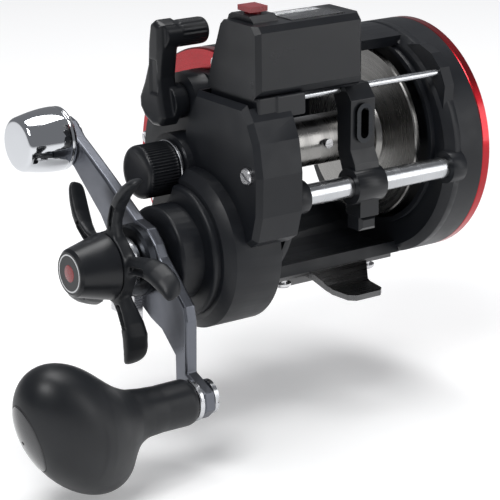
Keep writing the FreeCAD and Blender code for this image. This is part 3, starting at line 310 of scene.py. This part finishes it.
def carve(first, second, radius):
    """First shape with the second cut out of it, its edge rounded."""
    return -blend(-first, second, radius)


def skin(name, body, field, low, high, pitch, look, replaced=None):
    """Mesh of the surface where field(x, y, z), in mm, is zero."""
    pad = 2.5 * pitch
    axes = [np.arange(a - pad, b + pad, pitch) for a, b in zip(low, high)]
    values = field(*np.meshgrid(*axes, indexing="ij")).astype(np.float32)
    grid = openvdb.FloatGrid(float(values.max()))
    grid.copyFromArray(values)
    points, quads = grid.convertToQuads(0.0)
    corner = np.array([axis[0] for axis in axes])
    places = (points.astype(float) * pitch + corner) * MM
    mesh = bpy.data.meshes.new(name)
    mesh.from_pydata(places.tolist(), [], quads.tolist())
    finish_piece(name, body, mesh, look, replaced)


def finish_piece(name, body, mesh, look, replaced=None):
    """Outward normals, smooth shading, finish, and the body that the piece rides on."""
    shaped = bmesh.new()
    shaped.from_mesh(mesh)
    bmesh.ops.remove_doubles(shaped, verts=shaped.verts, dist=1e-7)
    bmesh.ops.recalc_face_normals(shaped, faces=shaped.faces)
    shaped.to_mesh(mesh)
    shaped.free()
    mesh.shade_smooth()
    mesh.materials.append(look.material)
    piece = bpy.data.objects.new(name, mesh)
    bpy.context.scene.collection.objects.link(piece)
    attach(piece, body)
    if replaced:
        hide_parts(replaced)


def prism(x, y, z, outline, start, stop, edge):
    """Distance to an outline in the YZ plane drawn out along X, its edges rounded."""
    inside = np.zeros(x.shape, bool)
    nearest = np.full(x.shape, 1e9)
    for (y0, z0), (y1, z1) in zip(outline, outline[1:] + outline[:1]):
        run_y, run_z = y1 - y0, z1 - z0
        share = np.clip(((y - y0) * run_y + (z - z0) * run_z) / (run_y**2 + run_z**2), 0, 1)
        nearest = np.minimum(nearest, np.hypot(y - y0 - share * run_y, z - z0 - share * run_z))
        if z0 != z1:
            crosses = (z0 > z) != (z1 > z)
            inside ^= crosses & (y < y0 + (z - z0) * run_y / run_z)
    flat = np.where(inside, -nearest, nearest) + edge
    deep = np.abs(x - (start + stop) / 2) - (stop - start) / 2 + edge
    return np.minimum(np.maximum(flat, deep), 0) + np.hypot(np.maximum(flat, 0), np.maximum(deep, 0)) - edge


def loft(name, body, loops, look, replaced=None, closed=False):
    """Piece stretched over loops of points in metres, with an end face each way unless it closes on itself."""
    count = len(loops[0])
    faces = []
    for row in range(len(loops) if closed else len(loops) - 1):
        here, after = row * count, (row + 1) % len(loops) * count
        for k in range(count):
            nxt = (k + 1) % count
            faces.append((here + k, here + nxt, after + nxt, after + k))
    if not closed:
        faces.append(tuple(range(count)))
        faces.append(tuple(range((len(loops) - 1) * count, len(loops) * count)))
    mesh = bpy.data.meshes.new(name)
    mesh.from_pydata(np.concatenate(loops).tolist(), [], faces)
    finish_piece(name, body, mesh, look, replaced)


def revolved(name, body, profile, axis, look, replaced=None, ribs=None, turns=96):
    """Profile of (x, radius) in mm turned round an axis parallel to X; ribs(x, turn) changes the radius."""
    angles = [2 * math.pi * k / turns for k in range(turns)]
    loops = []
    for x, radius in profile:
        reach = [radius + (ribs(x, angle) if ribs else 0.0) for angle in angles]
        loops.append([(x * MM, (axis[0] + r * math.cos(angle)) * MM, (axis[1] + r * math.sin(angle)) * MM)
                      for r, angle in zip(reach, angles)])
    loft(name, body, loops, look, replaced)


def rounded(start, corner, end, steps=6):
    """Points of a quadratic curve between two points, bending at the corner."""
    out = []
    for k in range(steps + 1):
        t = k / steps
        out.append(tuple((1 - t) ** 2 * a + 2 * t * (1 - t) * b + t * t * c
                         for a, b, c in zip(start, corner, end)))
    return out


# Handle knob: a round neck that flows into a tilted oval head, with an oval cap set in its end.
KNOB_FACE = -73.5
KNOB_TILT = math.radians(8)
HEAD_LONG, HEAD_SHORT = 24.8, 15.0
HEAD_AT = -39.0
HEAD_RISE = 0.3
HEAD_TURN = math.radians(53)
CAP_AHEAD = 17.1                  # from the middle of the head to the plane of the cap
CAP_OUT, CAP_DOWN = 0.93, 0.368   # the way the cap faces: along -X, and down the tilted head
CAP_HALVES = (11.6, 7.2)
VENT_HALVES = (0.62, 0.62)
KNOB_REACH = 9.0                  # how far from that plane the surface is looked for


def knob_field(x, y, z):
    across, up = y - KNOB_AXIS[0], z - KNOB_AXIS[1]
    side = across * math.cos(KNOB_TILT) + up * math.sin(KNOB_TILT)
    rise = up * math.cos(KNOB_TILT) - across * math.sin(KNOB_TILT)
    along = x - KNOB_FACE
    radius = np.interp(-along, (0, 2, 6, 11, 16, 21, 27, 34), (6.5, 7.0, 7.0, 6.95, 7.3, 8.0, 9.6, 12.0))
    neck = np.maximum(np.hypot(side, rise) - radius, -along - 34.0)
    a = (along - HEAD_AT) * math.cos(HEAD_TURN) - (rise - HEAD_RISE) * math.sin(HEAD_TURN)
    b = (along - HEAD_AT) * math.sin(HEAD_TURN) + (rise - HEAD_RISE) * math.cos(HEAD_TURN)
    near = np.sqrt((a / HEAD_LONG) ** 2 + (b / HEAD_SHORT) ** 2 + (side / HEAD_SHORT) ** 2)
    slope = np.sqrt((a / HEAD_LONG**2) ** 2 + (b / HEAD_SHORT**2) ** 2 + (side / HEAD_SHORT**2) ** 2)
    head = near * (near - 1.0) / np.maximum(slope, 1e-6)
    return carve(blend(head, neck, 5.0), -along, 1.2)


low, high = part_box("knob_grip")
skin("knob_skin", "knob", knob_field, [v / MM for v in low], [v / MM for v in high], 0.45,
     soft_black, "knob_grip")


def on_knob(centre, normal, first, second, a, b, lift):
    """Points over the knob's surface, found along the cap's normal, in metres."""
    flat = centre + a[..., None] * first + b[..., None] * second
    near, far = np.full(a.shape, -KNOB_REACH), np.full(a.shape, KNOB_REACH)
    for _ in range(30):
        middle = (near + far) / 2
        spot = flat + middle[..., None] * normal
        inside = knob_field(spot[..., 0], spot[..., 1], spot[..., 2]) < 0
        near, far = np.where(inside, middle, near), np.where(inside, far, middle)
    return (flat + (near + lift)[..., None] * normal) * MM


def knob_cap():
    """The glossy oval set in the end of the knob, the thin gap round it, and its vent; gap and vent are raised
    pieces coloured with painted shade.
    """
    tilt_y = np.array((0.0, math.cos(KNOB_TILT), math.sin(KNOB_TILT)))
    tilt_z = np.array((0.0, -math.sin(KNOB_TILT), math.cos(KNOB_TILT)))
    normal = np.array((-CAP_OUT, 0, 0)) - CAP_DOWN * tilt_z
    long_way = np.array((CAP_DOWN, 0, 0)) - CAP_OUT * tilt_z
    centre = np.array((KNOB_FACE + HEAD_AT - CAP_AHEAD, *KNOB_AXIS)) + HEAD_RISE * tilt_z
    turns = np.linspace(0, 2 * math.pi, 96, endpoint=False)

    def ovals(steps, halves):
        """A loop over the knob for each (scale, lift)."""
        made = []
        for scale, lift in steps:
            a = np.cos(turns) * halves[0] * scale
            b = np.sin(turns) * halves[1] * scale
            made.append(on_knob(centre, normal, long_way, tilt_y, a, b, lift))
        return made

    face = [(scale, 0.16) for scale in np.linspace(0.04, 0.93, 14)]
    face += [(0.965, 0.12), (0.985, 0.03), (0.985, -0.5)]
    gap = [(0.985, 0.02), (1.0, 0.06), (1.018, 0.02), (1.0, -0.5)]
    vent = [(1, 0.02), (0.95, 0.24), (0.4, 0.22)]
    loft("knob_cap", "knob", ovals(face, CAP_HALVES), inlay_black)
    # Painted shade: a thin raised bead ring for the gap and a small raised dome for the vent, both in the darkest
    # black, where only shadow would be.
    loft("knob_cap_gap", "knob", ovals(gap, CAP_HALVES), painted_shade_black, closed=True)
    loft("knob_vent", "knob", ovals(vent, VENT_HALVES), painted_shade_black)


knob_cap()


# Star wheel: five swept paddles, each with a pocket at its root, round one hub.
STAR_FRONT = -83.4
STAR_TURN = 38
STAR_HUB, STAR_BORE = 10.2, 5.0
POCKET_AT, POCKET_HALF = 15.6, 3.6   # along the blade
STATIONS = (6, 10, 14, 18, 22, 26, 30)
SQUARENESS = 2.6                     # of a blade's section: 2 would be an ellipse


def star_field(x, y, z):
    across, up = y - DRIVE_AXIS[0], z - DRIVE_AXIS[1]
    radius = np.hypot(across, up)
    shape = np.maximum(radius - STAR_HUB, np.abs(x - (STAR_FRONT + 2.2)) - 2.0)
    for blade in range(5):
        turn = math.radians(STAR_TURN + 72 * blade)
        out = across * math.cos(turn) + up * math.sin(turn)
        side = up * math.cos(turn) - across * math.sin(turn)
        middle = np.interp(out, STATIONS, (-0.4, -2.0, -3.5, -4.1, -3.6, -2.0, 0.4))
        thick = np.interp(out, STATIONS, (4.4, 3.1, 2.3, 2.1, 2.1, 2.0, 1.6))
        depth = np.interp(out, STATIONS, (1.8, 2.1, 2.6, 3.1, 3.4, 3.3, 2.9))
        back = np.interp(out, STATIONS, (2.2, 2.2, 2.5, 3.1, 3.7, 4.1, 4.4))
        lean = 0.34 * (x - STAR_FRONT - back)
        u = (side - middle + lean) / thick
        v = (x - STAR_FRONT - back) / depth
        section = (np.abs(u) ** SQUARENESS + np.abs(v) ** SQUARENESS) ** (1 / SQUARENESS)
        shell = (section - 1.0) * np.minimum(thick, depth)
        tip = out * 0.93 - side * 0.36 - 27.9
        shell = carve(shell, -tip, 1.4)
        shell = np.maximum(shell, STAR_BORE - out)
        pocket = np.maximum(np.abs(side - middle + lean) - 0.85, np.abs(out - POCKET_AT) - POCKET_HALF)
        pocket = np.maximum(pocket, x - (STAR_FRONT + 1.6))
        shell = carve(shell, pocket, 0.5)
        shape = blend(shape, shell, 1.6)
    return carve(shape, radius - STAR_BORE, 0.3)


skin("star_skin", "star", star_field, (-86.0, -45.5, -9.5), (-74.5, 19.5, 54.5), 0.4,
     soft_black, "star_wheel")


# Tension knob: fine ribs all round, plain face, on its ring.
TENSION_RADIUS = 8.3
TENSION_RIBS = 54


def fine_ribs(x, turn):
    inside = min(max((x + 63.0) / 1.2, 0.0), 1.0) * min(max((-53.4 - x) / 0.5, 0.0), 1.0)
    return -0.42 * inside * (0.5 + 0.5 * math.cos(TENSION_RIBS * turn)) ** 0.6


tension_profile = ([(-64.0, 0.5), (-64.0, 3.0), (-64.0, 5.4)]
                   + rounded((-64.0, 6.0), (-64.0, 8.25), (-62.2, TENSION_RADIUS))
                   + [(x, TENSION_RADIUS) for x in (-61.8, -61.2, -60.6, -60.0, -58.0, -56.0, -54.6, -53.9,
                                                    -53.6, -53.3)]
                   + [(-53.02, 8.1), (-53.0, 7.6), (-53.0, 0.5)])
revolved("tension_skin", "tension", tension_profile, SPOOL_AXIS, smooth_black,
         "tension_knob", fine_ribs, 432)


# Star cap face: a fine white band round a plain red disc, both just proud of the cap.
ring_white = moulded("ring_white", (0.62, 0.63, 0.64), (0.68, 0.69, 0.70), 0.32)
badge_red = moulded("badge_red", (0.26, 0.008, 0.012), (0.20, 0.006, 0.010), 0.28, Coat_Weight=0.3)
band_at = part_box("star_cap")[0].x / MM - 0.06
band = [(band_at + 0.4, 5.35), (band_at + 0.04, 5.35), (band_at, 5.4),
        (band_at, 5.75), (band_at + 0.04, 5.8), (band_at + 0.4, 5.8)]
badge = [(band_at + 0.4, 2.6), (band_at + 0.04, 2.6), (band_at, 2.5), (band_at, 0.3)]
revolved("star_band", "star", band, DRIVE_AXIS, ring_white)
revolved("star_badge", "star", badge, DRIVE_AXIS, badge_red)


# Free-spool lever: a waisted stem on its pivot, and a ribbed thumb bar.
LEVER_STEM = [(-2.0, 58.6), (2.4, 58.2), (6.6, 60.0), (9.2, 63.0), (9.4, 66.2), (6.8, 71.2), (4.6, 77.0),
              (4.2, 84.0), (3.2, 89.4), (0.8, 91.0), (-2.0, 89.4), (-2.2, 82.0), (-0.8, 73.0),
              (-2.2, 66.0), (-3.6, 61.4)]
LEVER_PIVOT = (1.0, 65.0)
LEVER_BAR = (0.6, 86.0)
BAR_RADIUS, BAR_RIBS = 4.05, 18


def lever_field(x, y, z):
    stem = prism(x, y, z, LEVER_STEM, -56.4, -49.2, 1.5)
    bar_across, bar_up = y - LEVER_BAR[0], z - LEVER_BAR[1]
    turn = np.arctan2(bar_up, bar_across)
    ribs = 0.16 * np.clip((x + 48.6) / 0.8, 0, 1) * np.clip((-39.4 - x) / 0.8, 0, 1)
    bar = np.hypot(bar_across, bar_up) - BAR_RADIUS - ribs * np.cos(BAR_RIBS * turn)
    shape = blend(stem, carve(np.maximum(bar, -54.0 - x), -38.4 - x, 1.2), 0.8)
    from_pivot = np.hypot(y - LEVER_PIVOT[0], z - LEVER_PIVOT[1])
    pivot = np.maximum(from_pivot - 2.5, np.abs(x + 45.5) - 7.5)
    collar = np.maximum(from_pivot - 5.5, np.abs(x + 49.5) - 2.5)
    dish = np.maximum(np.abs(y - 1.2 - 0.02 * (z - 74)) - 1.5, np.abs(z - 73.5) - 5.0)
    shape = blend(np.minimum(shape, pivot), collar, 0.6)
    return carve(shape, np.maximum(dish, x + 55.9), 0.8)


skin("lever_skin", "lever", lever_field, (-56.6, -4.8, 58.0), (-37.8, 9.7, 91.2), 0.3,
     smooth_black, "free_spool_lever")


# Skirt between the counter housing and the gear block, and the lip over the rod's near end.
# It has no CAD solid, and the lip reaches into the counter's step gear.
SKIRT_NEAR = [(-13.0, 63.5), (-37.2, 65.2), (-37.0, 72.4), (-13.0, 72.4)]
SKIRT_LIP = [(-33.6, 66.4), (-37.4, 65.8), (-37.2, 72.4), (-33.6, 72.4)]


def skirt_field(x, y, z):
    near = prism(x, y, z, SKIRT_NEAR, -45.3, -37.7, 0.6)
    lip = prism(x, y, z, SKIRT_LIP, -38.4, -27.8, 0.5)
    return blend(near, lip, 0.6)


skin("counter_skirt", "root", skirt_field, (-45.6, -37.8, 63.2), (-27.4, -12.6, 72.8), 0.35,
     smooth_black)


# Counterweight: a polished barrel with a fine groove and rim beside the arm.
low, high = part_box("counterweight")
front, back = low.x / MM, high.x / MM
barrel = (rounded((front, 6.9), (front, 8.15), (front + 1.3, 8.55), 8)
          + rounded((front + 1.4, 8.58), (front + 8.5, 10.25), (back - 2.6, 10.15), 22)
          + [(back - 2.0, 10.1), (back - 1.85, 9.85), (back - 1.6, 9.85), (back - 1.45, 10.1), (back - 0.4, 10.0),
             (back, 9.6)])
revolved("weight_barrel", "crank", [(front, 0.4), (front, 3.0)] + barrel + [(back, 0.4)], ARM_TOP, chrome,
         "counterweight", turns=160)


# ---------------------------------------------------------------- studio

FLOOR_HALF = 6.0
CAMERA_AT = (-416.07, -543.50, 224.42)
CAMERA_AIM = (-21.2, 0.0, 12.6)


def floor(height):
    """Plain pale ground that gives off a little light, so that it stays near white."""
    mesh = bpy.data.meshes.new("floor")
    corners = [(-FLOOR_HALF, -FLOOR_HALF, height), (FLOOR_HALF, -FLOOR_HALF, height),
               (FLOOR_HALF, FLOOR_HALF, height), (-FLOOR_HALF, FLOOR_HALF, height)]
    mesh.from_pydata(corners, [], [(0, 1, 2, 3)])
    look = Surface("floor_white", (0.88, 0.88, 0.88), 0.6, Specular_IOR_Level=0.0)
    look.set("Emission Color", (1.0, 1.0, 1.0, 1.0))
    look.set("Emission Strength", 0.26)
    look.vary_roughness(look.noise(3, 2), 0.05)
    mesh.materials.append(look.material)
    piece = bpy.data.objects.new("floor", mesh)
    bpy.context.scene.collection.objects.link(piece)
    piece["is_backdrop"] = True


def soft_light(name, place, target, size, power):
    lamp = bpy.data.lights.new(name, "AREA")
    lamp.shape = "RECTANGLE"
    lamp.size, lamp.size_y = size
    lamp.energy = power
    holder = bpy.data.objects.new(name, lamp)
    bpy.context.scene.collection.objects.link(holder)
    holder.location = place
    aim = Vector(target) - Vector(place)
    holder.rotation_euler = aim.to_track_quat("-Z", "Y").to_euler()


def studio():
    low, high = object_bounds()
    centre = (low + high) / 2
    floor(low.z - 0.002)
    world = bpy.data.worlds.new("studio")
    world.use_nodes = True
    shade = world.node_tree.nodes["Background"]
    shade.inputs["Color"].default_value = (0.93, 0.95, 1.0, 1.0)
    shade.inputs["Strength"].default_value = 0.24
    bpy.context.scene.world = world
    soft_light("key", centre + Vector((-0.55, -0.35, 0.85)), centre, (0.45, 0.45), 5.5)
    soft_light("top", centre + Vector((0.25, 0.15, 1.1)), centre, (0.7, 0.5), 7.5)
    soft_light("fill", centre + Vector((0.75, -0.9, 0.35)), centre, (0.3, 0.9), 3.0)


studio()

camera = bpy.data.cameras.new("photo_angle")
camera.lens = 159.4
camera.sensor_width = 36.0
viewer = bpy.data.objects.new("photo_angle", camera)
bpy.context.scene.collection.objects.link(viewer)
viewer.location = Vector(CAMERA_AT) * MM
gaze = Vector(CAMERA_AIM) * MM - viewer.location
viewer.rotation_euler = gaze.to_track_quat("-Z", "Y").to_euler()
camera.clip_start, camera.clip_end = 0.02, 30.0
bpy.context.scene.camera = viewer
bpy.context.scene.view_settings.view_transform = "Standard"
